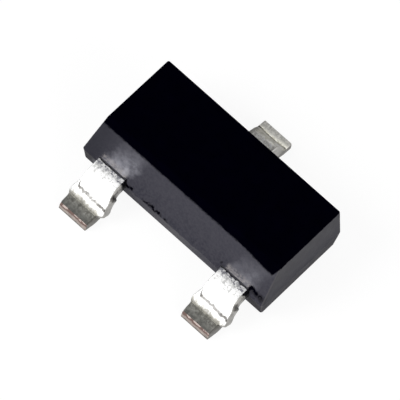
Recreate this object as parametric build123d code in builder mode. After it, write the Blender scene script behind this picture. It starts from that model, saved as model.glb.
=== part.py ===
from build123d import *
import math
import os

os.makedirs("parts", exist_ok=True)

# Switching diode in a three-lead moulded package for surface mounting.
# Sizes are in millimetres. X runs along the body and Z upwards, with the
# solder plane at Z = 0. The two front leads point to -Y, the single one to +Y.

# Moulded body: the mould halves meet at the parting height, and each wall
# leans in from there by its own inset
body_length = 2.80
body_width = 1.40
body_top = 0.96
standoff = 0.05
parting_height = 0.39
top_inset_end = 0.06
top_inset_front = 0.24
top_inset_back = 0.10
bottom_inset_end = 0.015
bottom_inset_front = 0.10
bottom_inset_back = 0.01
corner_radius = 0.03
top_edge_radius = 0.03

# Lead frame sheet and its gull-wing bends, with radii at mid-thickness
sheet = 0.15
lead_pitch = 1.90
lead_span = 2.54
foot_length = 0.19
slope_run = 0.185
shoulder_bend_radius = 0.18
foot_bend_radius = 0.09

# Widths of one lead, from the body to the sheared tip, and the stubs left
# where the dam bar that joined the leads was cut out of the slope
lead_width = 0.46
tip_width = 0.41
lead_edge_radius = 0.03
dam_bar_width = 0.52
dam_bar_length = 0.18
dam_bar_height = 0.21

# Die paddle and bond posts inside the body
paddle_width = 0.84
paddle_front = 0.30
paddle_back = 0.44
post_cover = 0.08
post_depth = 0.37
frame_clearance = 0.20

# Die, its adhesive and the bond wire
die_side = 0.30
die_height = 0.14
adhesive_rim = 0.03
adhesive_height = 0.02
wire_radius = 0.015
wire_rise = 0.10
wire_steep_part = 0.15
ball_radius = 0.045
ball_height = 0.025
stitch_radius = 0.05
stitch_height = 0.02

# Heights and stations that follow from the sizes above
frame_base = parting_height - sheet / 2
frame_top = parting_height + sheet / 2
tip_y = -lead_span / 2
heel_y = tip_y + foot_length
knee_y = heel_y + slope_run
post_front = -body_width / 2 + post_cover
die_y = (paddle_back - paddle_front) / 2
die_base = frame_top + adhesive_height
ball_base = die_base + die_height

# Side view of a gull-wing lead that points to -Y. Its shoulder is centred on
# the parting plane, and its foot stands on the solder plane.
with BuildSketch(Plane.YZ) as gull_wing:
    with BuildLine():
        FilletPolyline(
            (post_front, parting_height),
            (knee_y, parting_height),
            (heel_y, sheet / 2),
            (tip_y, sheet / 2),
            radius=(shoulder_bend_radius, foot_bend_radius),
        )
    trace(line_width=sheet)

# Plan view of the same lead, tapered along the foot
with BuildSketch() as lead_blank:
    with BuildLine():
        Polyline(
            (-tip_width / 2, tip_y),
            (tip_width / 2, tip_y),
            (lead_width / 2, heel_y),
            (lead_width / 2, post_front),
            (-lead_width / 2, post_front),
            (-lead_width / 2, heel_y),
            close=True,
        )
    make_face()

# One formed lead: the edges that the punch entered are rolled over, and the
# dam bar's stubs stand out square to the slope with sharp sheared edges
slope_rise = parting_height - sheet / 2
slope_angle = math.degrees(math.atan2(slope_rise, slope_run))
dam_bar_y = heel_y + slope_run * (dam_bar_height - sheet / 2) / slope_rise
with BuildPart() as formed_lead:
    extrude(gull_wing.sketch, amount=lead_width / 2, both=True)
    upper_faces = formed_lead.faces().filter_by(lambda face: face.normal_at().Z > 0.1)
    rolled_edges = upper_faces.edges().filter_by(Axis.X, reverse=True)
    fillet(rolled_edges, radius=lead_edge_radius)
    extrude(lead_blank.sketch, amount=body_top, mode=Mode.INTERSECT)
    with BuildSketch(Plane.YZ):
        with Locations((dam_bar_y, dam_bar_height)):
            Rectangle(dam_bar_length, sheet, rotation=slope_angle)
    extrude(amount=dam_bar_width / 2, both=True)

# Front left lead, with the post that takes the bond wire inside the body
with BuildPart() as anode_lead:
    with Locations((-lead_pitch / 2, 0, 0)):
        add(formed_lead.part)
    with BuildSketch(Plane.XY.offset(frame_base)):
        with Locations((-paddle_width / 2 - frame_clearance, post_front)):
            Rectangle(
                (lead_pitch + lead_width - paddle_width) / 2 - frame_clearance,
                post_depth,
                align=(Align.MAX, Align.MIN),
            )
    extrude(amount=sheet)

# Front right lead, the mirror image, with no connection to the die
with BuildPart() as spare_lead:
    mirror(anode_lead.part, about=Plane.YZ)

# Back lead, in one piece with its neck and the paddle that carries the die
with BuildPart() as cathode_lead:
    mirror(formed_lead.part, about=Plane.XZ)
    with BuildSketch(Plane.XY.offset(frame_base)):
        with Locations((0, paddle_back)):
            Rectangle(
                paddle_width,
                paddle_front + paddle_back,
                align=(Align.CENTER, Align.MAX),
            )
            Rectangle(
                lead_width,
                -post_front - paddle_back,
                align=(Align.CENTER, Align.MIN),
            )
    extrude(amount=sheet)

# Conductive adhesive under the die, squeezed out to a narrow rim
with BuildPart() as die_adhesive:
    with Locations((0, die_y, frame_top)):
        Box(
            die_side + 2 * adhesive_rim,
            die_side + 2 * adhesive_rim,
            adhesive_height,
            align=(Align.CENTER, Align.CENTER, Align.MIN),
        )

# Sawn silicon die, the cathode on its underside and the anode on top
with BuildPart() as diode_die:
    with Locations((0, die_y, die_base)):
        Box(
            die_side,
            die_side,
            die_height,
            align=(Align.CENTER, Align.CENTER, Align.MIN),
        )

# Bond wire: a pressed ball on the die, a loop that rises steeply from it and
# comes down flat, and the pressed stitch on the anode lead's post
stitch_x = -paddle_width / 2 - frame_clearance - post_depth / 2
stitch_y = post_front + post_depth / 2
with BuildPart() as bond_wire:
    with Locations((0, die_y, ball_base)):
        Cylinder(
            ball_radius,
            ball_height,
            align=(Align.CENTER, Align.CENTER, Align.MIN),
        )
    with Locations((stitch_x, stitch_y, frame_top)):
        Cylinder(
            stitch_radius,
            stitch_height,
            align=(Align.CENTER, Align.CENTER, Align.MIN),
        )
    with BuildLine() as loop:
        Spline(
            (0, die_y, ball_base + ball_height / 2),
            (
                wire_steep_part * stitch_x,
                die_y + wire_steep_part * (stitch_y - die_y),
                ball_base + ball_height + wire_rise,
            ),
            (stitch_x, stitch_y, frame_top + stitch_height),
            tangents=((0, 0, 1), (stitch_x, stitch_y - die_y, -wire_rise)),
        )
    with BuildSketch(loop.line ^ 0):
        Circle(wire_radius)
    sweep(path=loop.line)

# Moulded body: two drafted halves that share the parting outline, cast
# around the lead frame, the die and the wire
with BuildPart() as moulded_body:
    with BuildSketch(Plane.XY.offset(parting_height)):
        RectangleRounded(body_length, body_width, corner_radius)
    with BuildSketch(Plane.XY.offset(body_top)):
        with Locations((0, (top_inset_front - top_inset_back) / 2)):
            RectangleRounded(
                body_length - 2 * top_inset_end,
                body_width - top_inset_front - top_inset_back,
                corner_radius,
            )
    loft()
    with BuildSketch(Plane.XY.offset(standoff)):
        with Locations((0, (bottom_inset_front - bottom_inset_back) / 2)):
            RectangleRounded(
                body_length - 2 * bottom_inset_end,
                body_width - bottom_inset_front - bottom_inset_back,
                corner_radius,
            )
    with BuildSketch(Plane.XY.offset(parting_height)):
        RectangleRounded(body_length, body_width, corner_radius)
    loft()
    fillet(moulded_body.faces().sort_by(Axis.Z)[-1].edges(), radius=top_edge_radius)
    for piece in (anode_lead, spare_lead, cathode_lead, die_adhesive, diode_die, bond_wire):
        add(piece.part, mode=Mode.SUBTRACT)

anode_lead.part.label = "anode_lead"
export_step(anode_lead.part, "parts/anode_lead.step")
spare_lead.part.label = "spare_lead"
export_step(spare_lead.part, "parts/spare_lead.step")
cathode_lead.part.label = "cathode_lead"
export_step(cathode_lead.part, "parts/cathode_lead.step")
die_adhesive.part.label = "die_adhesive"
export_step(die_adhesive.part, "parts/die_adhesive.step")
diode_die.part.label = "diode_die"
export_step(diode_die.part, "parts/diode_die.step")
bond_wire.part.label = "bond_wire"
export_step(bond_wire.part, "parts/bond_wire.step")
moulded_body.part.label = "moulded_body"
export_step(moulded_body.part, "parts/moulded_body.step")
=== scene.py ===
import math

import bmesh
import bpy
from mathutils import Matrix, Vector, geometry, noise


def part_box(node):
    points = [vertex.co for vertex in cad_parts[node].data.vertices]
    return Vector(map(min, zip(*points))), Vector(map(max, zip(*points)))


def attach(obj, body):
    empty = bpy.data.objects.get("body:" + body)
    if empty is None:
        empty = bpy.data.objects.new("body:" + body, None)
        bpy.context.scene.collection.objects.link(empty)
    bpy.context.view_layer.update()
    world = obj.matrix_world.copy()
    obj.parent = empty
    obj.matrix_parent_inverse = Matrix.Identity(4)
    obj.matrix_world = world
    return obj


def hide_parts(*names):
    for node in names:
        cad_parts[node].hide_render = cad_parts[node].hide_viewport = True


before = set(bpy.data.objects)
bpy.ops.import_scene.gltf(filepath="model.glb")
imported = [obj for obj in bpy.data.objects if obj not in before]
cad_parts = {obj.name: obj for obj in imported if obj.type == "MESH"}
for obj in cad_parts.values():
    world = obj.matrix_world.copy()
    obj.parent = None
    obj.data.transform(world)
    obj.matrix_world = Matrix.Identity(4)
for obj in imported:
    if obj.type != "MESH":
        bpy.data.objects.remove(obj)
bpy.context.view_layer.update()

# The package body is one block of black epoxy, pressed around the lead frame in
# a two-part mould. Its walls lean in above and below the parting line, and the
# epoxy is a little chipped where the two mould halves met. Beside the front leads
# the wall carries painted shadows of the leads, drawn with the same marks.
mm = 0.001
body_low, body_high = (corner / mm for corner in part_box("moulded_body"))
half_length, half_depth = 1.40, 0.70
parting_height = 0.39
along_x, along_y, along_z = (1.0, 0.0, 0.0), (0.0, 1.0, 0.0), (0.0, 0.0, 1.0)
body = bmesh.new()
bmesh.ops.create_cube(body, size=1.0)
bmesh.ops.scale(body, vec=body_high - body_low, verts=body.verts)
bmesh.ops.translate(body, vec=(body_low + body_high) / 2, verts=body.verts)
bmesh.ops.bisect_plane(body, geom=body.verts[:] + body.edges[:] + body.faces[:],
                       plane_co=(0.0, 0.0, parting_height), plane_no=along_z)


def lean_in(corners, end_inset, front_inset, back_inset):
    depth_left = half_depth - (front_inset + back_inset) / 2
    bmesh.ops.scale(body, vec=((half_length - end_inset) / half_length, depth_left / half_depth, 1.0),
                    verts=corners)
    bmesh.ops.translate(body, vec=(0.0, (front_inset - back_inset) / 2, 0.0), verts=corners)


def round_edges(edges, radius, segments):
    bmesh.ops.bevel(body, geom=edges, offset=radius, offset_type="OFFSET", segments=segments,
                    profile=0.5, affect="EDGES", material=-1, clamp_overlap=True)


lean_in([v for v in body.verts if v.co.z > body_high.z - 0.01],
        end_inset=0.06, front_inset=0.24, back_inset=0.10)
lean_in([v for v in body.verts if v.co.z < body_low.z + 0.01],
        end_inset=0.015, front_inset=0.10, back_inset=0.01)
round_edges([e for e in body.edges if abs(e.verts[0].co.z - e.verts[1].co.z) > 0.1],
            radius=0.025, segments=4)
top_edge_radius = 0.03
round_edges([e for e in body.edges if min(v.co.z for v in e.verts) > body_high.z - 0.001],
            radius=top_edge_radius, segments=5)
round_edges([e for e in body.edges if max(v.co.z for v in e.verts) < body_low.z + 0.001],
            radius=0.015, segments=3)

# The faces are cut small everywhere, and smaller where the front wall is scored and
# where it carries the leads' painted shadows, along the ink's lower edge, and where the ink ends at
# the right front corner
ink_line = 0.864


def in_front(point):
    return point.y < -0.50 and 0.20 < point.z < 0.56


def by_ink_line(point):
    return point.y < -0.44 and (0.845 if point.x < 0.74 else 0.815) < point.z < 0.885


def by_end_corner(point):
    return point.x > 1.28 and point.z > 0.90


def evenly(first, step, count):
    return [first + step * i for i in range(count)]


def slice_across(places, direction, only=None):
    for place in places:
        faces = [f for f in body.faces if only is None or only(f.calc_center_median())]
        parts = {part for face in faces for part in (face, *face.edges, *face.verts)}
        bmesh.ops.bisect_plane(body, geom=list(parts), dist=1e-5,
                               plane_co=Vector(direction) * place, plane_no=direction)


slice_across(evenly(0.07, 0.03, 29) + [ink_line, body_high.z - top_edge_radius], along_z)
slice_across(evenly(-0.66, 0.04, 34), along_y)
slice_across(evenly(-1.36, 0.04, 69), along_x)
slice_across(evenly(0.21, 0.01, 35), along_z, in_front)
slice_across(evenly(-1.38, 0.01, 277), along_x, in_front)
slice_across(evenly(0.824, 0.004, 15), along_z, by_ink_line)
slice_across(evenly(-1.37, 0.01, 275), along_x, by_ink_line)
slice_across(evenly(0.905, 0.005, 10), along_z, by_end_corner)
bmesh.ops.remove_doubles(body, verts=body.verts, dist=0.0004)

# Scores where the skin broke away from the front wall, and painted shadows of the
# front leads on the wall beside them (the rows from x -0.79 to -0.65 and from x 1.15
# on): x and z of both ends, radius, and how much of the skin is gone, for a shadow
# how dark it is
chips_and_lead_shadows = ((-0.769, 0.455, -0.758, 0.408, 0.019, 1.00), (-0.758, 0.408, -0.785, 0.240, 0.020, 1.00),
          (-0.758, 0.408, -0.700, 0.398, 0.019, 1.00), (-0.700, 0.398, -0.650, 0.414, 0.018, 0.95),
          (-0.756, 0.493, -0.764, 0.465, 0.016, 0.65), (-0.575, 0.366, -0.560, 0.372, 0.016, 0.60),
          (-0.455, 0.398, -0.416, 0.408, 0.015, 0.75), (-0.384, 0.414, -0.366, 0.410, 0.019, 0.90),
          (-0.326, 0.422, -0.298, 0.398, 0.022, 1.00), (-0.290, 0.378, -0.278, 0.366, 0.019, 0.95),
          (-0.246, 0.416, -0.222, 0.412, 0.020, 0.98), (-0.196, 0.410, -0.186, 0.402, 0.015, 0.55),
          (-0.122, 0.400, -0.104, 0.392, 0.018, 0.85), (-0.080, 0.386, -0.066, 0.380, 0.015, 0.60),
          (-0.016, 0.376, 0.020, 0.370, 0.014, 0.50), (0.120, 0.366, 0.150, 0.370, 0.013, 0.45),
          (0.300, 0.364, 0.316, 0.364, 0.015, 0.55), (0.720, 0.484, 0.728, 0.474, 0.016, 0.70),
          (1.168, 0.502, 1.157, 0.410, 0.020, 0.92), (1.157, 0.410, 1.150, 0.330, 0.024, 1.00),
          (1.168, 0.502, 1.194, 0.502, 0.020, 0.98), (1.194, 0.502, 1.262, 0.475, 0.023, 1.00),
          (1.262, 0.475, 1.334, 0.484, 0.018, 0.72), (1.334, 0.484, 1.346, 0.430, 0.017, 0.60))
chip_and_shadow = body.verts.layers.float.new("chip_and_shadow")
for v in body.verts:
    here = v.co.copy()
    # The walls sway a little, and a ragged flash stands out at the parting line
    if 0.08 <= here.z <= 0.93:
        sway = noise.noise(here * 6.0) * 0.0018 + noise.noise(here * 25.0) * 0.0006
        v.co += Vector((here.x, here.y, 0.0)).normalized() * sway
    if abs(here.z - parting_height) < 0.004:
        flash = max(0.0, noise.noise(Vector((here.x, here.y, 7.0)) * 14.0)) * 0.010
        v.co += Vector((here.x / 2.0, here.y, 0.0)).normalized() * flash
    if not in_front(here):
        continue
    on_wall = Vector((here.x, here.z))
    ragged = 1.0 + 0.6 * noise.noise(here * 45.0) + 0.5 * noise.noise(here * 95.0)
    for first_x, first_z, last_x, last_z, radius, mark_depth in chips_and_lead_shadows:
        start, end = Vector((first_x, first_z)), Vector((last_x, last_z))
        share = geometry.intersect_point_line(on_wall, start, end)[1]
        nearest = start.lerp(end, min(1.0, max(0.0, share)))
        away = (on_wall - nearest).length * ragged / radius
        inside = max(0.0, min(1.0, (1.7 - away) / 1.2))
        v[chip_and_shadow] = max(v[chip_and_shadow], mark_depth * inside * inside * (3.0 - 2.0 * inside))
    v.co.y += 0.005 * v[chip_and_shadow]


def start_finish(name):
    finish = bpy.data.materials.new(name)
    finish.use_nodes = True
    nodes, links = finish.node_tree.nodes, finish.node_tree.links
    return finish, nodes, links, nodes["Principled BSDF"]


# Shared effect: an uneven surface seen at one size, read in object space
speckle = bpy.data.node_groups.new("speckle", "ShaderNodeTree")
for name in ("Size per metre", "Low", "High"):
    speckle.interface.new_socket(name, in_out="INPUT", socket_type="NodeSocketFloat")
speckle.interface.new_socket("Amount", in_out="OUTPUT", socket_type="NodeSocketFloat")
speckle_in = speckle.nodes.new("NodeGroupInput").outputs
speckle_noise = speckle.nodes.new("ShaderNodeTexNoise")
speckle_noise.inputs["Detail"].default_value = 4.0
speckle_noise.inputs["Roughness"].default_value = 0.6
speckle_range = speckle.nodes.new("ShaderNodeMapRange")
for source, socket in (
        (speckle.nodes.new("ShaderNodeTexCoord").outputs["Object"], speckle_noise.inputs["Vector"]),
        (speckle_in["Size per metre"], speckle_noise.inputs["Scale"]),
        (speckle_noise.outputs["Fac"], speckle_range.inputs["Value"]),
        (speckle_in["Low"], speckle_range.inputs["From Min"]),
        (speckle_in["High"], speckle_range.inputs["From Max"]),
        (speckle_range.outputs["Result"], speckle.nodes.new("NodeGroupOutput").inputs["Amount"])):
    speckle.links.new(source, socket)


def add_speckle(nodes, per_metre, low, high):
    node = nodes.new("ShaderNodeGroup")
    node.node_tree = speckle
    for name, number in (("Size per metre", per_metre), ("Low", low), ("High", high)):
        node.inputs[name].default_value = number
    return node.outputs["Amount"]


def read_layer(nodes, name):
    node = nodes.new("ShaderNodeAttribute")
    node.attribute_name = name
    return node.outputs["Fac"]


# What is worked out from other values goes into the node tree that they are in
def split_apart(vector):
    node = vector.id_data.nodes.new("ShaderNodeSeparateXYZ")
    vector.id_data.links.new(vector, node.inputs["Vector"])
    return tuple(node.outputs)


def blend_colours(amount, first, second):
    tree = amount.id_data
    node = tree.nodes.new("ShaderNodeMix")
    node.data_type = "RGBA"
    tree.links.new(amount, node.inputs["Factor"])
    for socket, colour in ((node.inputs["A"], first), (node.inputs["B"], second)):
        if isinstance(colour, bpy.types.NodeSocket):
            tree.links.new(colour, socket)
        else:
            socket.default_value = (*colour, 1.0)
    return node.outputs["Result"]


def work_out(operation, *values):
    tree = next(value for value in values if isinstance(value, bpy.types.NodeSocket)).id_data
    node = tree.nodes.new("ShaderNodeMath")
    node.operation = operation
    for socket, value in zip(node.inputs, values):
        if isinstance(value, bpy.types.NodeSocket):
            tree.links.new(value, socket)
        else:
            socket.default_value = value
    return node.outputs["Value"]


def product(first, *others):
    for other in others:
        first = work_out("MULTIPLY", first, other)
    return first


def total(first, *others):
    for other in others:
        first = work_out("ADD", first, other)
    return first


def away_from(value, centre):
    return work_out("ABSOLUTE", work_out("SUBTRACT", value, centre))


def ramp_between(value, start, end, low=0.0, high=1.0):
    node = value.id_data.nodes.new("ShaderNodeMapRange")
    node.interpolation_type = "SMOOTHSTEP"
    value.id_data.links.new(value, node.inputs["Value"])
    for name, number in (("From Min", start), ("From Max", end), ("To Min", low), ("To Max", high)):
        node.inputs[name].default_value = number
    return node.outputs["Result"]


def roughen(shader, height, strength, distance):
    node = shader.id_data.nodes.new("ShaderNodeBump")
    node.inputs["Strength"].default_value = strength
    node.inputs["Distance"].default_value = distance
    shader.id_data.links.new(height, node.inputs["Height"])
    shader.id_data.links.new(node.outputs["Normal"], shader.inputs["Normal"])


epoxy, nodes, links, shader = start_finish("moulding_epoxy")
place_x, place_y, place_z = split_apart(nodes.new("ShaderNodeTexCoord").outputs["Object"])
facing_x, facing_y = split_apart(nodes.new("ShaderNodeNewGeometry").outputs["Normal"])[:2]
cloudy = add_speckle(nodes, 6500.0, 0.32, 0.68)
grain = add_speckle(nodes, 30000.0, 0.36, 0.64)
colour = blend_colours(cloudy, (0.026, 0.026, 0.037), (0.039, 0.038, 0.050))
upper = ramp_between(place_z, 0.40 * mm, 0.75 * mm)
colour = blend_colours(product(upper, 0.5), colour, (0.052, 0.051, 0.064))
colour = blend_colours(product(grain, 0.6), colour, (0.059, 0.057, 0.069))
# Painted shadow of the right lead on the wall beside it, and darker towards the left end
painted_lead_shadow = product(ramp_between(place_x, 1.12 * mm, 1.20 * mm),
                      ramp_between(place_z, 0.54 * mm, 0.46 * mm),
                      ramp_between(place_y, -0.60 * mm, -0.64 * mm, 0.0, 0.75),
                      ramp_between(place_z, 0.415 * mm, 0.465 * mm))
colour = blend_colours(painted_lead_shadow, colour, (0.014, 0.013, 0.017))
leftward = ramp_between(place_x, -0.9 * mm, -1.3 * mm)
colour = blend_colours(product(leftward, 0.72), colour, (0.020, 0.020, 0.027))
# Below the parting line it is paler in the middle and darker at the ends
uneven_height = total(place_z, ramp_between(grain, 0.0, 1.0, -0.016 * mm, 0.016 * mm))
under = ramp_between(uneven_height, 0.400 * mm, 0.360 * mm)
off_middle = work_out("ABSOLUTE", place_x)
near_middle = ramp_between(off_middle, 0.55 * mm, 0.05 * mm, 0.0, 0.65)
colour = blend_colours(product(under, near_middle), colour, (0.080, 0.077, 0.086))
near_ends = ramp_between(off_middle, 0.90 * mm, 1.25 * mm, 0.0, 0.65)
colour = blend_colours(product(under, near_ends), colour, (0.014, 0.013, 0.016))
# Painted reflection of light from each front lead on the wall over it, leaning to
# the right as it rises, and a thin painted band of that light where the wall meets the lead
lean = product(work_out("SUBTRACT", place_z, 0.50 * mm), 0.38)
drift = ramp_between(add_speckle(nodes, 8000.0, 0.30, 0.70), 0.0, 1.0, -0.035 * mm, 0.035 * mm)
fading_up = ramp_between(place_z, 0.98 * mm, 0.45 * mm)
on_front = ramp_between(place_y, -0.46 * mm, -0.50 * mm)
for station, strength in ((-0.957, 0.90), (0.980, 0.42)):
    from_lead_glow = work_out("SUBTRACT", place_x, (station + 0.020) * mm)
    from_lead_glow = work_out("SUBTRACT", from_lead_glow, lean)
    aside = total(work_out("ABSOLUTE", from_lead_glow), drift)
    painted_lead_glow = product(ramp_between(aside, 0.245 * mm, 0.085 * mm),
                    ramp_between(from_lead_glow, -0.14 * mm, 0.14 * mm, 0.84, 1.22),
                    fading_up, on_front, add_speckle(nodes, 12000.0, 0.15, 0.62), strength)
    colour = blend_colours(painted_lead_glow, colour, (0.262, 0.262, 0.296))
    painted_glow_band = product(ramp_between(away_from(place_x, station * mm), 0.205 * mm, 0.175 * mm),
                   ramp_between(place_z, 0.575 * mm, 0.495 * mm),
                   ramp_between(place_z, 0.462 * mm, 0.470 * mm),
                   on_front, add_speckle(nodes, 26000.0, 0.36, 0.60), 0.55)
    colour = blend_colours(painted_glow_band, colour, (0.36, 0.335, 0.330))
# A brighter spot of painted reflected light at the right of the left lead's glow
on_front_wall = ramp_between(place_y, -0.44 * mm, -0.46 * mm)
painted_glow_spot = product(ramp_between(away_from(place_x, -0.805 * mm), 0.055 * mm, 0.015 * mm),
                 ramp_between(away_from(place_z, 0.540 * mm), 0.075 * mm, 0.025 * mm, 0.0, 0.45),
                 on_front_wall)
colour = blend_colours(painted_glow_spot, colour, (0.36, 0.355, 0.385))
# The wall darkens into the ink, whose lower edge droops to the right and stops
# short of the corner
droop_start, droop_end, droop = 0.75, 1.30, 0.036
stop_start, stop_end, stop_rise = 1.29, 1.34, 0.10
ink_grain = ramp_between(add_speckle(nodes, 22000.0, 0.3, 0.7), 0.0, 1.0, -0.008 * mm, 0.008 * mm)
raised = total(place_z, ink_grain,
               ramp_between(place_x, droop_start * mm, droop_end * mm, 0.0, droop * mm))
raised = work_out("SUBTRACT", raised,
                  ramp_between(place_x, stop_start * mm, stop_end * mm, 0.0, stop_rise * mm))
inkward = product(ramp_between(raised, 0.836 * mm, 0.870 * mm), on_front_wall)
colour = blend_colours(inkward, colour, (0.0010, 0.0010, 0.0030))
# The right end wall and the corner that turns towards it catch more light
end_wall = product(ramp_between(facing_x, 0.4, 0.8),
                   ramp_between(place_z, 0.30 * mm, 0.85 * mm, 0.25, 1.0), 0.8)
colour = blend_colours(end_wall, colour, (0.072, 0.071, 0.078))
turned = product(ramp_between(facing_x, 0.25, 0.50), ramp_between(facing_y, -0.20, -0.45, 0.0, 0.6))
colour = blend_colours(turned, colour, (0.098, 0.094, 0.100))
# Chips and the leads' painted shadows go near black
crumbs = ramp_between(add_speckle(nodes, 36000.0, 0.40, 0.56), 0.0, 1.0, 0.30, 1.0)
chips_and_shadows_dark = product(read_layer(nodes, "chip_and_shadow"), crumbs)
colour = blend_colours(chips_and_shadows_dark, colour, (0.0003, 0.0003, 0.0012))
links.new(colour, shader.inputs["Base Color"])
links.new(ramp_between(cloudy, 0.0, 1.0, 0.62, 0.72), shader.inputs["Roughness"])
shader.inputs["Specular IOR Level"].default_value = 0.08
roughen(shader, grain, strength=0.35, distance=0.002 * mm)

# The top face has had its marking left off: it is the same epoxy, lapped and
# inked over bare
inked, nodes, links, shader = start_finish("inked_top")
cloudy = add_speckle(nodes, 6000.0, 0.25, 0.75)
grain = add_speckle(nodes, 60000.0, 0.25, 0.75)
colour = blend_colours(cloudy, (0.0002, 0.0002, 0.0016), (0.0004, 0.0003, 0.0028))
links.new(colour, shader.inputs["Base Color"])
links.new(ramp_between(grain, 0.0, 1.0, 0.70, 0.85), shader.inputs["Roughness"])
shader.inputs["Specular IOR Level"].default_value = 0.0
roughen(shader, grain, strength=0.2, distance=0.001 * mm)


def ease(value, start, end):
    share = min(1.0, max(0.0, (value - start) / (end - start)))
    return share * share * (3.0 - 2.0 * share)


def finish_piece(name, form, finishes, replaced):
    bmesh.ops.scale(form, vec=(mm, mm, mm), verts=form.verts)
    for edge in form.edges:
        edge.smooth = edge.calc_face_angle(0.0) < math.radians(38.0)
    for face in form.faces:
        face.smooth = True
    mesh = bpy.data.meshes.new(name)
    form.to_mesh(mesh)
    form.free()
    for finish in finishes:
        mesh.materials.append(finish)
    piece = bpy.data.objects.new(name, mesh)
    bpy.context.scene.collection.objects.link(piece)
    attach(piece, "root")
    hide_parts(replaced)


# Ink lies on the faces above its border, and shows in the deepest scores and in the darkest painted
# lead shadows
bmesh.ops.recalc_face_normals(body, faces=body.faces)
for face in body.faces:
    middle = face.calc_center_median()
    if face.normal.y < -0.5:
        border = ink_line - droop * ease(middle.x, droop_start, droop_end)
        border += stop_rise * ease(middle.x, stop_start, stop_end)
        border += 0.008 * noise.noise(middle * 8.0) + 0.007 * noise.noise(middle * 45.0)
    elif face.normal.x > 0.3:
        border = body_high.z - 0.016 + 0.007 * noise.noise(middle * 40.0)
    else:
        border = body_high.z - top_edge_radius
    threshold = 0.78 + 0.45 * noise.noise(middle * 55.0)
    deep_chip_and_shadow = sum(v[chip_and_shadow] for v in face.verts) > threshold * len(face.verts)
    if middle.z > border or deep_chip_and_shadow:
        face.material_index = 1
finish_piece("epoxy_body", body, (epoxy, inked), "moulded_body")

# The three leads are stamped from copper strip, rolled over at the top edges by
# the punch, bent down to the board and plated with matt tin. Cutting the bar
# that joined them leaves stubs on the slope and a ragged ledge across it.
sheet = 0.15
half_width = 0.23
edge_roll, sole_roll = 0.06, 0.008
slope_run, slope_rise = 0.185, parting_height - sheet / 2
slope_angle = math.atan2(slope_rise, slope_run)
shoulder_radius, foot_radius = 0.24, 0.09
shoulder_reach = shoulder_radius * math.tan(slope_angle / 2)
foot_reach = foot_radius * math.tan(slope_angle / 2)
slope_length = math.hypot(slope_rise, slope_run) - shoulder_reach - foot_reach
strip_start = -0.62
# Where the ledge crosses the strip, in millimetres along it: a slanting line
# that hooks back near one edge
ledge_run, ledge_slant = 0.423, 0.06
hook_side, hook_slant, hook_length = -0.170, 3.5, 0.065


def stretched_noise(nodes, links, scale, detail):
    mapping = nodes.new("ShaderNodeMapping")
    mapping.inputs["Scale"].default_value = scale
    links.new(nodes.new("ShaderNodeTexCoord").outputs["Object"], mapping.inputs["Vector"])
    node = nodes.new("ShaderNodeTexNoise")
    node.inputs["Scale"].default_value = 1.0
    node.inputs["Detail"].default_value = detail
    links.new(mapping.outputs["Vector"], node.inputs["Vector"])
    return node.outputs["Fac"]
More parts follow.
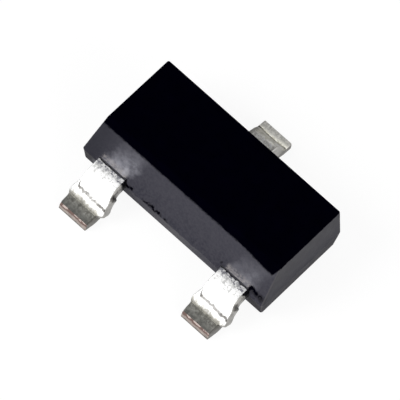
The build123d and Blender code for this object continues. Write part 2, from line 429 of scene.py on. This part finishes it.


# Tin on the tops and soles, with its reflections and shade painted into the tone
# along the strip. The front leads show the ledge (ledge_mark), and the back lead
# has painted shade on its edges (edge_shade).
def plate_tin(name, ledge_mark, edge_shade, tones_and_reflections):
    finish, nodes, links, shader = start_finish(name)
    run, across = read_layer(nodes, "run"), read_layer(nodes, "across")
    cloudy = add_speckle(nodes, 9000.0, 0.30, 0.70)
    grain = add_speckle(nodes, 50000.0, 0.30, 0.70)
    blotchy = add_speckle(nodes, 24000.0, 0.30, 0.70)
    streaks = stretched_noise(nodes, links, (30000.0, 7000.0, 7000.0), 5.0)
    streaky = total(product(streaks, 0.65), product(grain, 0.35))
    broad = stretched_noise(nodes, links, (11000.0, 1500.0, 1500.0), 2.0)
    # Tone along the strip, mostly painted reflection and shade, its borders smeared lengthwise
    smear = ramp_between(streaky, 0.38, 0.62,
                         -0.012 - 0.020 * ledge_mark, 0.012 + 0.006 * ledge_mark)
    held_back = product(ramp_between(across, 0.175, 0.215, 0.0, 0.028), ledge_mark)
    askew = ramp_between(across, -0.21, 0.10, -0.022 * edge_shade, 0.004 * edge_shade)
    smeared = total(work_out("SUBTRACT", total(run, smear), held_back), askew)
    tone_and_reflection = nodes.new("ShaderNodeValToRGB")
    links.new(smeared, tone_and_reflection.inputs["Fac"])
    while len(tone_and_reflection.color_ramp.elements) < len(tones_and_reflections):
        tone_and_reflection.color_ramp.elements.new(1.0)
    for element, (position, colour_there) in zip(tone_and_reflection.color_ramp.elements, tones_and_reflections):
        element.position = position
        element.color = (*colour_there, 1.0)
    shading = nodes.new("ShaderNodeHueSaturation")
    links.new(tone_and_reflection.outputs["Color"], shading.inputs["Color"])
    uneven = product(ramp_between(streaky, 0.34, 0.66, 0.72, 1.24),
                     ramp_between(blotchy, 0.0, 1.0,
                                  0.78 + 0.12 * edge_shade, 1.20 - 0.12 * edge_shade),
                     ramp_between(broad, 0.32, 0.68, 0.88, 1.12))
    links.new(uneven, shading.inputs["Value"])
    # Crackle on the shoulder, where the tin was bent
    wander = total(run, ramp_between(cloudy, 0.0, 1.0, -0.028, 0.022))
    shoulder = product(ramp_between(wander, 0.152, 0.132), ramp_between(run, 0.195, 0.165))
    fine_crackle = product(add_speckle(nodes, 38000.0, 0.42, 0.60), 0.45)
    crackle = work_out("MAXIMUM", add_speckle(nodes, 19000.0, 0.50, 0.56), fine_crackle)
    colour = blend_colours(product(shoulder, crackle), shading.outputs["Color"], (0.27, 0.27, 0.30))
    # Dark where the strip comes out of the wall, black along the outer rim of that band
    rim = total(run, ramp_between(add_speckle(nodes, 20000.0, 0.3, 0.7), 0.0, 1.0, -0.008, 0.008))
    colour = blend_colours(ramp_between(rim, 0.080, 0.074), colour, (0.006, 0.006, 0.009))
    colour = blend_colours(ramp_between(rim, 0.069, 0.063), colour, (0.09, 0.09, 0.10))
    # Ragged shadow line of the ledge, and a smudge below it
    ragged = ramp_between(stretched_noise(nodes, links, (20000.0, 3000.0, 3000.0), 4.0),
                          0.25, 0.75, -0.011, 0.011)
    hook = product(work_out("SUBTRACT", across, hook_side), hook_slant)
    hook = work_out("MAXIMUM", -hook_length, work_out("MINIMUM", hook, 0.0))
    ledge = total(product(across, ledge_slant), ledge_run, hook)
    past_ledge = work_out("SUBTRACT", work_out("SUBTRACT", run, ledge), ragged)
    line = product(ramp_between(work_out("ABSOLUTE", past_ledge), 0.034, 0.007),
                   ramp_between(work_out("ABSOLUTE", across), 0.10, 0.17, 0.80, 0.93),
                   ramp_between(across, -0.195, -0.180))
    smudge = product(ramp_between(past_ledge, -0.004, 0.004),
                     ramp_between(past_ledge, 0.050, 0.010, 0.0, 0.28), blotchy)
    line = product(work_out("MAXIMUM", line, smudge), ledge_mark)
    colour = blend_colours(line, colour, (0.070, 0.064, 0.058))
    # Painted shade on the rolled edges of the back slope, more on one than the other,
    # with a painted paler strip of light inside the far one and painted shade in its corner
    down_slope = ramp_between(run, 0.28, 0.34)
    near_edge = product(ramp_between(across, 0.125, 0.175),
                        ramp_between(down_slope, 0.0, 1.0, 0.45, 1.0))
    far_edge = product(ramp_between(across, -0.130, -0.180),
                       ramp_between(down_slope, 0.0, 1.0, 0.60, 0.20))
    edge = product(total(near_edge, far_edge), ramp_between(run, 0.674, 0.660, 0.0, edge_shade))
    colour = blend_colours(edge, colour, (0.080, 0.075, 0.067))
    painted_pale_strip = product(ramp_between(across, -0.095, -0.125), ramp_between(across, -0.195, -0.175),
                    down_slope, ramp_between(run, 0.674, 0.660, 0.0, 0.6 * edge_shade))
    colour = blend_colours(painted_pale_strip, colour, (0.42, 0.415, 0.40))
    painted_corner_shade = product(ramp_between(across, -0.140, -0.180), ramp_between(run, 0.615, 0.640),
                        ramp_between(run, 0.690, 0.672, 0.0, 0.85 * edge_shade))
    colour = blend_colours(painted_corner_shade, colour, (0.11, 0.105, 0.095))
    # The right edge of a front foot is dark, and its left rolled edge is painted grey as
    # shade, so it shows as a faint line against the white card
    foot_edge = product(ramp_between(across, 0.186, 0.200),
                        ramp_between(run, 0.565, 0.605, 0.0, 0.70 * ledge_mark))
    colour = blend_colours(foot_edge, colour, (0.085, 0.082, 0.074))
    facing_x = split_apart(nodes.new("ShaderNodeNewGeometry").outputs["Normal"])[0]
    painted_left_roll_shade = product(ramp_between(facing_x, -0.20, -0.55, 0.0, 0.6), ledge_mark)
    colour = blend_colours(painted_left_roll_shade, colour, (0.34, 0.34, 0.35))
    links.new(colour, shader.inputs["Base Color"])
    # Where the back lead's edges carry painted shade the tin is made less metallic, so the painted
    # shade shows at grazing angles
    dulled_for_painted_shade = product(ramp_between(across, 0.168, 0.188), down_slope)
    links.new(ramp_between(dulled_for_painted_shade, 0.0, 1.0, 1.0, 1.0 - 0.9 * edge_shade), shader.inputs["Metallic"])
    shader.inputs["Specular IOR Level"].default_value = 0.0
    # Rougher in the bend to the foot, where the die pressed it
    pressed = product(ramp_between(run, 0.585, 0.615),
                      ramp_between(run, 0.700, 0.670, 0.0, 0.55 * edge_shade))
    links.new(total(pressed, ramp_between(cloudy, 0.0, 1.0, 0.30, 0.40)), shader.inputs["Roughness"])
    roughen(shader, streaky, strength=0.30, distance=0.002 * mm)
    return finish


# Tones of both finishes by the distance along the strip, mostly painted reflection
# and shade: white on the front shoulders and slopes, dull on the feet, darker on the
# back slope, with a pale painted highlight in the back lead's bend
bright = (0.90, 0.90, 0.89)
front_tin = plate_tin("matt_tin", ledge_mark=1.0, edge_shade=0.0, tones_and_reflections=(
    (0.0, bright), (0.150, bright), (0.180, (0.98, 0.98, 0.97)), (0.350, (0.95, 0.95, 0.94)),
    (0.485, bright), (0.505, (0.55, 0.54, 0.51)), (0.520, (0.40, 0.39, 0.36)),
    (0.537, (0.345, 0.335, 0.30)), (0.552, (0.29, 0.28, 0.25)), (0.600, (0.23, 0.225, 0.20)),
    (0.668, (0.180, 0.176, 0.159)), (0.708, (0.204, 0.202, 0.187)), (0.733, (0.200, 0.198, 0.184)),
    (0.757, (0.152, 0.151, 0.140)), (1.0, (0.137, 0.139, 0.128))))
back_tin = plate_tin("matt_tin_back", ledge_mark=0.0, edge_shade=0.95, tones_and_reflections=(
    (0.0, (0.80, 0.80, 0.77)), (0.235, (0.92, 0.91, 0.87)), (0.280, (0.85, 0.84, 0.80)),
    (0.292, (0.46, 0.45, 0.40)), (0.312, (0.265, 0.257, 0.220)), (0.335, (0.210, 0.202, 0.170)),
    (0.360, (0.230, 0.220, 0.180)), (0.560, (0.250, 0.240, 0.200)), (0.585, (0.60, 0.585, 0.51)),
    (0.605, (0.96, 0.945, 0.855)), (0.676, (0.94, 0.925, 0.84)), (0.694, (0.70, 0.69, 0.63)),
    (0.710, (0.455, 0.447, 0.42)), (1.0, (0.445, 0.437, 0.412))))

# The sheared sides, a finish that the right rolled edges of the front leads also take
# as painted shade: tin wiped over the cut, darker down the foot, with painted shade at
# the step above the stub and black where the side leaves the wall
sheared, nodes, links, shader = start_finish("sheared_tin")
run, across = read_layer(nodes, "run"), read_layer(nodes, "across")
cloudy = add_speckle(nodes, 14000.0, 0.30, 0.70)
grain = add_speckle(nodes, 50000.0, 0.30, 0.70)
ragged = total(run, ramp_between(cloudy, 0.0, 1.0, -0.015, 0.015))
colour = blend_colours(cloudy, (0.26, 0.255, 0.24), (0.42, 0.41, 0.39))
colour = blend_colours(ramp_between(run, 0.540, 0.600, 0.0, 0.75), colour, (0.10, 0.095, 0.085))
painted_step_shade = product(ramp_between(away_from(ragged, 0.284), 0.050, 0.016, 0.0, 0.85),
                ramp_between(across, 0.205, 0.225))
colour = blend_colours(painted_step_shade, colour, (0.055, 0.052, 0.048))
colour = blend_colours(ramp_between(ragged, 0.160, 0.140), colour, (0.008, 0.008, 0.010))
links.new(colour, shader.inputs["Base Color"])
shader.inputs["Metallic"].default_value = 1.0
links.new(ramp_between(grain, 0.0, 1.0, 0.42, 0.58), shader.inputs["Roughness"])
roughen(shader, grain, strength=0.5, distance=0.002 * mm)

# Bare copper at the cut end, with tin smeared over its lower half by the blade
# and a bright burr along its top
copper, nodes, links, shader = start_finish("cut_copper")
place_z = split_apart(nodes.new("ShaderNodeTexCoord").outputs["Object"])[2]
cloudy = add_speckle(nodes, 16000.0, 0.30, 0.70)
grain = add_speckle(nodes, 60000.0, 0.30, 0.70)
waves = stretched_noise(nodes, links, (12000.0, 12000.0, 12000.0), 3.0)
height = total(place_z, ramp_between(waves, 0.3, 0.7, -0.014 * mm, 0.014 * mm))
broken = ramp_between(stretched_noise(nodes, links, (16000.0, 9000.0, 9000.0), 3.0), 0.50, 0.58)
smeared_tin = blend_colours(cloudy, (0.31, 0.26, 0.235), (0.46, 0.40, 0.365))
bare = blend_colours(grain, (0.140, 0.078, 0.065), (0.215, 0.140, 0.120))
burr = blend_colours(broken, bare, (0.62, 0.52, 0.48))
colour = blend_colours(ramp_between(height, 0.018 * mm, 0.036 * mm), (0.165, 0.155, 0.140),
                       smeared_tin)
colour = blend_colours(ramp_between(height, 0.070 * mm, 0.084 * mm), colour, bare)
colour = blend_colours(ramp_between(height, 0.108 * mm, 0.118 * mm), colour, burr)
links.new(colour, shader.inputs["Base Color"])
shader.inputs["Metallic"].default_value = 1.0
links.new(ramp_between(grain, 0.0, 1.0, 0.40, 0.55), shader.inputs["Roughness"])
roughen(shader, grain, strength=0.5, distance=0.002 * mm)


def read_between(stations, along):
    for (start, first), (end, last) in zip(stations, stations[1:]):
        if along <= end:
            return first + (last - first) * min(1.0, max(0.0, (along - start) / (end - start)))
    return stations[-1][1]


# Half widths along the strip, on its left and right: the whole strip, and its flat top
front_widths = {
    -1.0: ((0.0, 0.225), (0.15, 0.214), (0.35, 0.207), (0.42, 0.228), (0.49, 0.245), (0.53, 0.245),
           (0.555, 0.236), (0.67, 0.223), (0.78, 0.214), (0.81, 0.206)),
    1.0: ((0.0, 0.230), (0.22, 0.237), (0.272, 0.241), (0.298, 0.264), (0.42, 0.266), (0.50, 0.284),
          (0.545, 0.284), (0.575, 0.250), (0.60, 0.230), (0.67, 0.223), (0.81, 0.208))}
front_flats = {
    -1.0: tuple((along, wide - 0.012) for along, wide in front_widths[-1.0]),
    1.0: ((0.0, 0.177), (0.20, 0.180), (0.30, 0.205), (0.345, 0.234), (0.42, 0.246), (0.46, 0.262),
          (0.515, 0.264), (0.545, 0.226), (0.562, 0.206), (0.81, 0.203))}
back_widths = {
    -1.0: ((0.0, 0.175), (0.28, 0.176), (0.42, 0.182), (0.52, 0.190), (0.66, 0.200), (0.78, 0.206)),
    1.0: ((0.0, 0.197), (0.20, 0.197), (0.28, 0.191), (0.42, 0.192), (0.55, 0.205), (0.64, 0.222),
          (0.67, 0.233), (0.70, 0.229), (0.78, 0.221))}
back_flats = {side: tuple((along, wide - 0.010) for along, wide in back_widths[side])
              for side in back_widths}


def form_lead(own_noise, knee, heel, tip, widths, flats, ledge_height, toe):
    # The strip's section, its edges rolled over: 27 cuts across its top and
    # sole and 5 up each side
    strip = bmesh.new()
    corners = [strip.verts.new((x, strip_start, parting_height + z))
               for x, z in ((-half_width, -sheet / 2), (half_width, -sheet / 2),
                            (half_width, sheet / 2), (-half_width, sheet / 2))]
    strip.faces.new(corners)
    for pair, radius, segments in ((corners[2:], edge_roll, 6), (corners[:2], sole_roll, 2)):
        bmesh.ops.bevel(strip, geom=pair, offset=radius, offset_type="OFFSET", segments=segments,
                        profile=0.5, affect="VERTICES", material=-1, clamp_overlap=True)
    for long_edge in [e for e in strip.edges if e.calc_length() > 0.06]:
        cuts = 27 if long_edge.calc_length() > 0.3 else 5
        bmesh.ops.subdivide_edges(strip, edges=[long_edge], cuts=cuts)
    run = strip.verts.layers.float.new("run")
    across = strip.verts.layers.float.new("across")
    lean = strip.verts.layers.float.new("lean")
    level = strip.verts.layers.float.new("level")
    for v in strip.verts:
        v[level] = v.co.z - parting_height
    bmesh.ops.delete(strip, geom=strip.faces[:], context="FACES_ONLY")
    rim = strip.edges[:]
    inner_rim = rim

    # The section is drawn along the straights and swung round the two bends:
    # length, turn, pivot and number of steps of each stretch
    shoulder_pivot = Vector((0.0, knee + shoulder_reach, parting_height - shoulder_radius))
    foot_pivot = Vector((0.0, heel - foot_reach, sheet / 2 + foot_radius))
    travelled, angle = 0.0, 0.0
    for length, turn, pivot, steps in (
            (strip_start - knee - shoulder_reach, 0.0, None, 14),
            (slope_angle * shoulder_radius, slope_angle, shoulder_pivot, 24),
            (slope_length, 0.0, None, 20),
            (slope_angle * foot_radius, -slope_angle, foot_pivot, 10),
            (heel - foot_reach - tip, 0.0, None, 14)):
        for step in range(steps):
            grown = bmesh.ops.extrude_edge_only(strip, edges=rim)["geom"]
            ring = [g for g in grown if isinstance(g, bmesh.types.BMVert)]
            rim = [g for g in grown if isinstance(g, bmesh.types.BMEdge)]
            if pivot is None:
                heading = Vector((0.0, -math.cos(angle), -math.sin(angle)))
                bmesh.ops.translate(strip, vec=heading * length / steps, verts=ring)
            else:
                swing = Matrix.Rotation(turn / steps, 3, "X")
                bmesh.ops.rotate(strip, cent=pivot, matrix=swing, verts=ring)
                angle += turn / steps
            travelled += length / steps
            for v in ring:
                v[run] = travelled
                v[lean] = angle
    bmesh.ops.contextual_create(strip, geom=rim)
    bmesh.ops.contextual_create(strip, geom=inner_rim)
    bmesh.ops.recalc_face_normals(strip, faces=strip.faces)

    # Widths along the strip: its rolled edges narrow, and the stubs stand out
    flat_half = half_width - edge_roll
    for v in strip.verts:
        side = math.copysign(1.0, v.co.x)
        along = v[run]
        local = v.co + Vector((own_noise * 3.7, own_noise * 1.3, 0.0))
        outward = Vector((0.0, -math.sin(v[lean]), math.cos(v[lean])))
        wide, flat = read_between(widths[side], along), read_between(flats[side], along)
        reach = abs(v.co.x)
        if reach <= flat_half or v[level] < 0.0:
            reach *= (flat / flat_half) if v[level] > 0.0 else wide / half_width
        else:
            reach = flat + (reach - flat_half) / edge_roll * (wide - flat)
        v.co.x = side * (reach + 0.003 * noise.noise(local * 18.0))
        v[across] = v.co.x
        if v[level] > 0.0:
            hook = min(hook_length, max(0.0, hook_side - v.co.x) * hook_slant)
            ledge = ledge_run + ledge_slant * v.co.x - hook
            proud = ledge_height * ease(along, ledge - 0.01, ledge + 0.02)
            proud *= 1.0 - ease(along, 0.54, 0.62)
            v.co += outward * (proud + 0.0012 * noise.noise(local * 18.0))
        if along > travelled - 0.001:
            v.co.y -= toe * (0.5 - v[level] / sheet)
    return strip


# Inside the body the strip widens into a bond post, or a neck and the paddle
def add_block(form, middle_x, width, start, end):
    block = bmesh.ops.create_cube(form, size=1.0)["verts"]
    bmesh.ops.scale(form, vec=(width, end - start, sheet), verts=block)
    bmesh.ops.translate(form, vec=(middle_x, (start + end) / 2, parting_height), verts=block)


paddle_width, paddle_back, paddle_front = 0.84, -0.44, 0.30
post_width, post_depth, post_shift = 0.56, 0.37, 0.05
for name, node, station, turn, own_noise, tip in (
        ("left_lead", "anode_lead", -0.954, 0.0, 1.0, -1.284),
        ("right_lead", "spare_lead", 0.955, 0.0, 2.0, -1.280),
        ("back_lead", "cathode_lead", 0.0, math.pi, 3.0, -1.250)):
    if turn == 0.0:
        tin, side_from = front_tin, 0.25
        lead = form_lead(own_noise, knee=-0.895, heel=-1.08, tip=tip, widths=front_widths,
                         flats=front_flats, ledge_height=0.008, toe=0.0)
    else:
        tin, side_from = back_tin, 0.9
        lead = form_lead(own_noise, knee=-0.915, heel=-1.10, tip=tip, widths=back_widths,
                         flats=back_flats, ledge_height=0.0, toe=0.018)
    # The sides take the sheared finish, and on the front leads so does the right rolled edge (normal
    # x above side_from), as painted shade
    for face in lead.faces:
        if len(face.verts) == 4 and (face.normal.x > side_from or face.normal.x < -0.9):
            face.material_index = 1
        if face.calc_center_median().y < tip + 0.004 and face.normal.y < -0.9:
            face.material_index = 2
    if turn == 0.0:
        add_block(lead, -math.copysign(post_shift, station), post_width,
                  strip_start, strip_start + post_depth)
    else:
        add_block(lead, 0.0, paddle_width, paddle_back, paddle_front)
        add_block(lead, 0.0, 2 * half_width, strip_start, paddle_back)
    bmesh.ops.rotate(lead, cent=(0.0, 0.0, 0.0), matrix=Matrix.Rotation(turn, 3, "Z"),
                     verts=lead.verts)
    bmesh.ops.translate(lead, vec=(station, 0.0, 0.0), verts=lead.verts)
    finish_piece(name, lead, (tin, sheared, copper), node)

# The die is a sawn block of silicon, held on the paddle by silver-filled
# adhesive and wired with gold. They are sealed in the epoxy, so they keep their
# own solids and only take their finishes here.
for node, name, per_metre, low, high, first, second, smoothest, roughest, metallic in (
        ("diode_die", "sawn_silicon", 40000.0, 0.30, 0.70,
         (0.20, 0.21, 0.26), (0.30, 0.31, 0.36), 0.18, 0.34, 0.5),
        ("die_adhesive", "silver_adhesive", 90000.0, 0.42, 0.60,
         (0.50, 0.50, 0.47), (0.74, 0.74, 0.72), 0.60, 0.35, 0.0),
        ("bond_wire", "bond_gold", 60000.0, 0.30, 0.70,
         (0.90, 0.64, 0.26), (0.98, 0.78, 0.40), 0.16, 0.28, 1.0)):
    finish, nodes, links, shader = start_finish(name)
    grain = add_speckle(nodes, per_metre, low, high)
    links.new(blend_colours(grain, first, second), shader.inputs["Base Color"])
    links.new(ramp_between(grain, 0.0, 1.0, smoothest, roughest), shader.inputs["Roughness"])
    shader.inputs["Metallic"].default_value = metallic
    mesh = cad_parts[node].data
    mesh.materials.clear()
    mesh.materials.append(finish)

# The table is a sheet of white card under the part. To the camera and in
# reflections it is white, it still takes the part's soft shadow, and a camera
# held under it looks through it.
table = bmesh.new()
bmesh.ops.create_grid(table, x_segments=4, y_segments=4, size=0.08)
bmesh.ops.translate(table, vec=(0.0, 0.0, -0.002 * mm), verts=table.verts)
table_mesh = bpy.data.meshes.new("white_card")
table.to_mesh(table_mesh)
table.free()
card = bpy.data.objects.new("white_card", table_mesh)
bpy.context.scene.collection.objects.link(card)
white, nodes, links, shader = start_finish("white_card")
nodes.remove(shader)
rays = nodes.new("ShaderNodeLightPath").outputs
seen = total(rays["Is Camera Ray"], rays["Is Glossy Ray"], rays["Is Transmission Ray"])
lit = nodes.new("ShaderNodeBsdfDiffuse")
lit.inputs["Color"].default_value = (0.80, 0.80, 0.80, 1.0)
shaded = nodes.new("ShaderNodeBsdfDiffuse")
shaded.inputs["Color"].default_value = (0.13, 0.13, 0.13, 1.0)
glow = nodes.new("ShaderNodeEmission")
glow.inputs["Strength"].default_value = 0.90
both = nodes.new("ShaderNodeAddShader")
links.new(shaded.outputs["BSDF"], both.inputs[0])
links.new(glow.outputs["Emission"], both.inputs[1])


def choose_between(amount, first, second):
    node = nodes.new("ShaderNodeMixShader")
    for source, socket in zip((amount, first, second), node.inputs):
        links.new(source, socket)
    return node.outputs["Shader"]


from_above = choose_between(seen, lit.outputs["BSDF"], both.outputs["Shader"])
underside = nodes.new("ShaderNodeNewGeometry").outputs["Backfacing"]
see_through = nodes.new("ShaderNodeBsdfTransparent").outputs["BSDF"]
links.new(choose_between(underside, from_above, see_through),
          nodes["Material Output"].inputs["Surface"])
table_mesh.materials.append(white)

# The studio: a white tent, darker behind the part, where it hangs open. The
# tin shows it, as it would a real tent. A broad key light stands at the front
# left, a low one in front, and a fill on the right.
world = bpy.data.worlds.new("studio")
bpy.context.scene.world = world
world.use_nodes = True
nodes, links = world.node_tree.nodes, world.node_tree.links
rays = nodes.new("ShaderNodeLightPath").outputs
backward = split_apart(nodes.new("ShaderNodeTexCoord").outputs["Generated"])[1]
tent = ramp_between(backward, 0.42, 0.75, 1.0, 0.20)
soft_light = 0.40
in_reflections = product(rays["Is Glossy Ray"], work_out("SUBTRACT", tent, soft_light))
sky = work_out("MAXIMUM", total(in_reflections, soft_light), rays["Is Camera Ray"])
nodes["Background"].inputs["Color"].default_value = (1.0, 1.0, 1.0, 1.0)
links.new(sky, nodes["Background"].inputs["Strength"])


def seen_from(azimuth, elevation):
    azimuth, elevation = math.radians(azimuth), math.radians(elevation)
    return Vector((math.sin(azimuth) * math.cos(elevation),
                   -math.cos(azimuth) * math.cos(elevation), math.sin(elevation)))


for name, azimuth, elevation, spread, strength in (("key", -38.0, 40.0, 28.0, 1.5),
                                                   ("strip", -12.0, 12.0, 40.0, 0.8),
                                                   ("fill", 75.0, 30.0, 40.0, 0.8)):
    lamp = bpy.data.lights.new(name, "SUN")
    lamp.energy = strength
    lamp.angle = math.radians(spread)
    lamp_object = bpy.data.objects.new(name, lamp)
    bpy.context.scene.collection.objects.link(lamp_object)
    lamp_object.rotation_euler = seen_from(azimuth, elevation).to_track_quat("Z", "Y").to_euler()

# The camera stands front right and high over the part, turned on its own axis,
# with a long lens that keeps the package's edges nearly parallel.
azimuth, elevation, roll = 23.08, 61.91, math.radians(21.01)
distance = 80.0
back = seen_from(azimuth, elevation)
level_right = Vector((math.cos(math.radians(azimuth)), math.sin(math.radians(azimuth)), 0.0))
level_up = back.cross(level_right)
right = math.cos(roll) * level_right + math.sin(roll) * level_up
up = -math.sin(roll) * level_right + math.cos(roll) * level_up
aim = Vector((0.0, 0.0, 0.5)) - 0.1542 * right - 0.1679 * up
lens = bpy.data.cameras.new("long_lens")
lens.sensor_width = 36.0
lens.lens = 626.3
lens.clip_start = 0.001
lens.clip_end = 1.0
camera = bpy.data.objects.new("long_lens", lens)
bpy.context.scene.collection.objects.link(camera)
camera.matrix_world = Matrix((right, up, back)).transposed().to_4x4()
camera.location = (aim + distance * back) * mm
bpy.context.scene.camera = camera
bpy.context.scene.view_settings.view_transform = "Standard"
